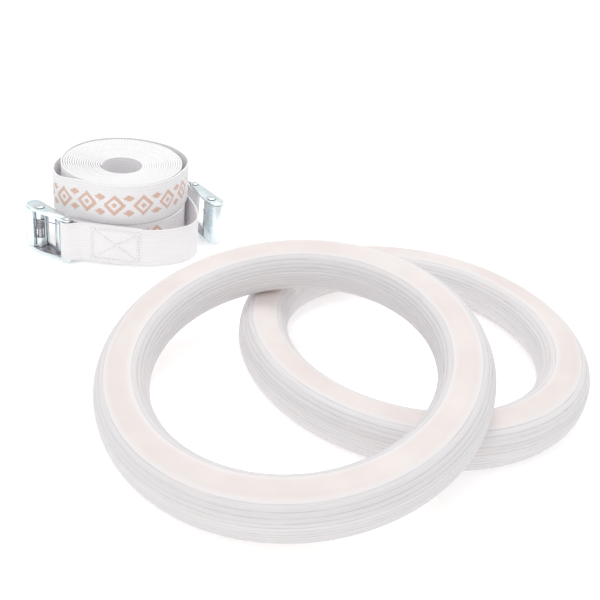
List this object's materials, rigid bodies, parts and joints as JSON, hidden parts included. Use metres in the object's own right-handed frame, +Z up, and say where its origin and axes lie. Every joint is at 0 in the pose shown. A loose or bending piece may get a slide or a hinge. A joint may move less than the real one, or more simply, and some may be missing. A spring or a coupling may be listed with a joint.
{
  "type": "gymnastics rings",
  "caption": "Wooden gymnastics rings, one flat and one leaning on it, with their webbing hanging straps rolled up and stacked, each ending in a metal cam buckle.",
  "frame": {"origin": "under the middle of the whole laid-out set, on the floor the rings and the lower strap stand on", "axes": "+Z is up, +Y runs from the leaning ring's side towards the strap rolls' side, +X runs from the strap rolls towards the flat ring"},
  "size_m": [0.4132, 0.392, 0.0755],
  "materials": {
    "ring_wood": "pale whitewashed laminated birch, satin",
    "lower_webbing": "off-white woven polyester webbing, matte",
    "upper_webbing": "off-white woven polyester webbing with a woven peach pattern, matte",
    "stitch_thread": "white bonded sewing thread",
    "zinc_steel": "bright blue-white zinc plate on pressed steel, satin",
    "pin_steel": "zinc plated steel, slightly polished heads",
    "spring_steel": "drawn spring wire"
  },
  "bodies": {
    "flat_ring": {"ring_flat": "ring_wood"},
    "leaning_ring": {"ring_leaning": "ring_wood"},
    "lower_strap": {"lower_strap_roll": "lower_webbing", "lower_strap_outer_wrap": "lower_webbing", "lower_strap_sewn_loop": "lower_webbing", "lower_strap_stitching": "stitch_thread"},
    "upper_strap": {"upper_strap_roll": "upper_webbing", "upper_strap_outer_wrap": "upper_webbing", "upper_strap_sewn_loop": "upper_webbing", "upper_strap_stitching": "stitch_thread"},
    "left_buckle": {"left_buckle_frame": "zinc_steel", "left_buckle_pivot_pin": "pin_steel", "left_buckle_anchor_rod": "pin_steel", "left_buckle_torsion_spring": "spring_steel"},
    "left_lever": {"left_buckle_cam_lever": "zinc_steel"},
    "right_buckle": {"right_buckle_frame": "zinc_steel", "right_buckle_pivot_pin": "pin_steel", "right_buckle_anchor_rod": "pin_steel", "right_buckle_torsion_spring": "spring_steel"},
    "right_lever": {"right_buckle_cam_lever": "zinc_steel"}
  },
  "joints": [
    {"name": "leaning_ring_lift", "type": "slide", "parent": "flat_ring", "child": "leaning_ring", "axis": [0, 0, 1], "range_m": [0, 0.06]},
    {"name": "lower_strap_lift", "type": "slide", "parent": "flat_ring", "child": "lower_strap", "axis": [0, 0, 1], "range_m": [0, 0.08]},
    {"name": "upper_strap_lift", "type": "slide", "parent": "lower_strap", "child": "upper_strap", "axis": [0, 0, 1], "range_m": [0, 0.05]},
    {"name": "left_buckle_swing", "type": "hinge", "parent": "lower_strap", "child": "left_buckle", "pos_m": [-0.16912, 0.0818, 0.01875], "axis": [0, 0, 1], "range_deg": [-8, 60]},
    {"name": "left_lever_press", "type": "hinge", "parent": "left_buckle", "child": "left_lever", "pos_m": [-0.19436, 0.09801, 0.01875], "axis": [0, 0, -1], "range_deg": [0, 15], "stiffness_Nm_per_rad": 0.06, "springref_deg": -34.38},
    {"name": "right_buckle_swing", "type": "hinge", "parent": "upper_strap", "child": "right_buckle", "pos_m": [-0.08167, 0.1704, 0.01875], "axis": [0, 0, 1], "range_deg": [-8, 60]},
    {"name": "right_lever_press", "type": "hinge", "parent": "right_buckle", "child": "right_lever", "pos_m": [-0.06502, 0.14545, 0.01875], "axis": [0, 0, 1], "range_deg": [0, 15], "stiffness_Nm_per_rad": 0.06, "springref_deg": -34.38}
  ]
}
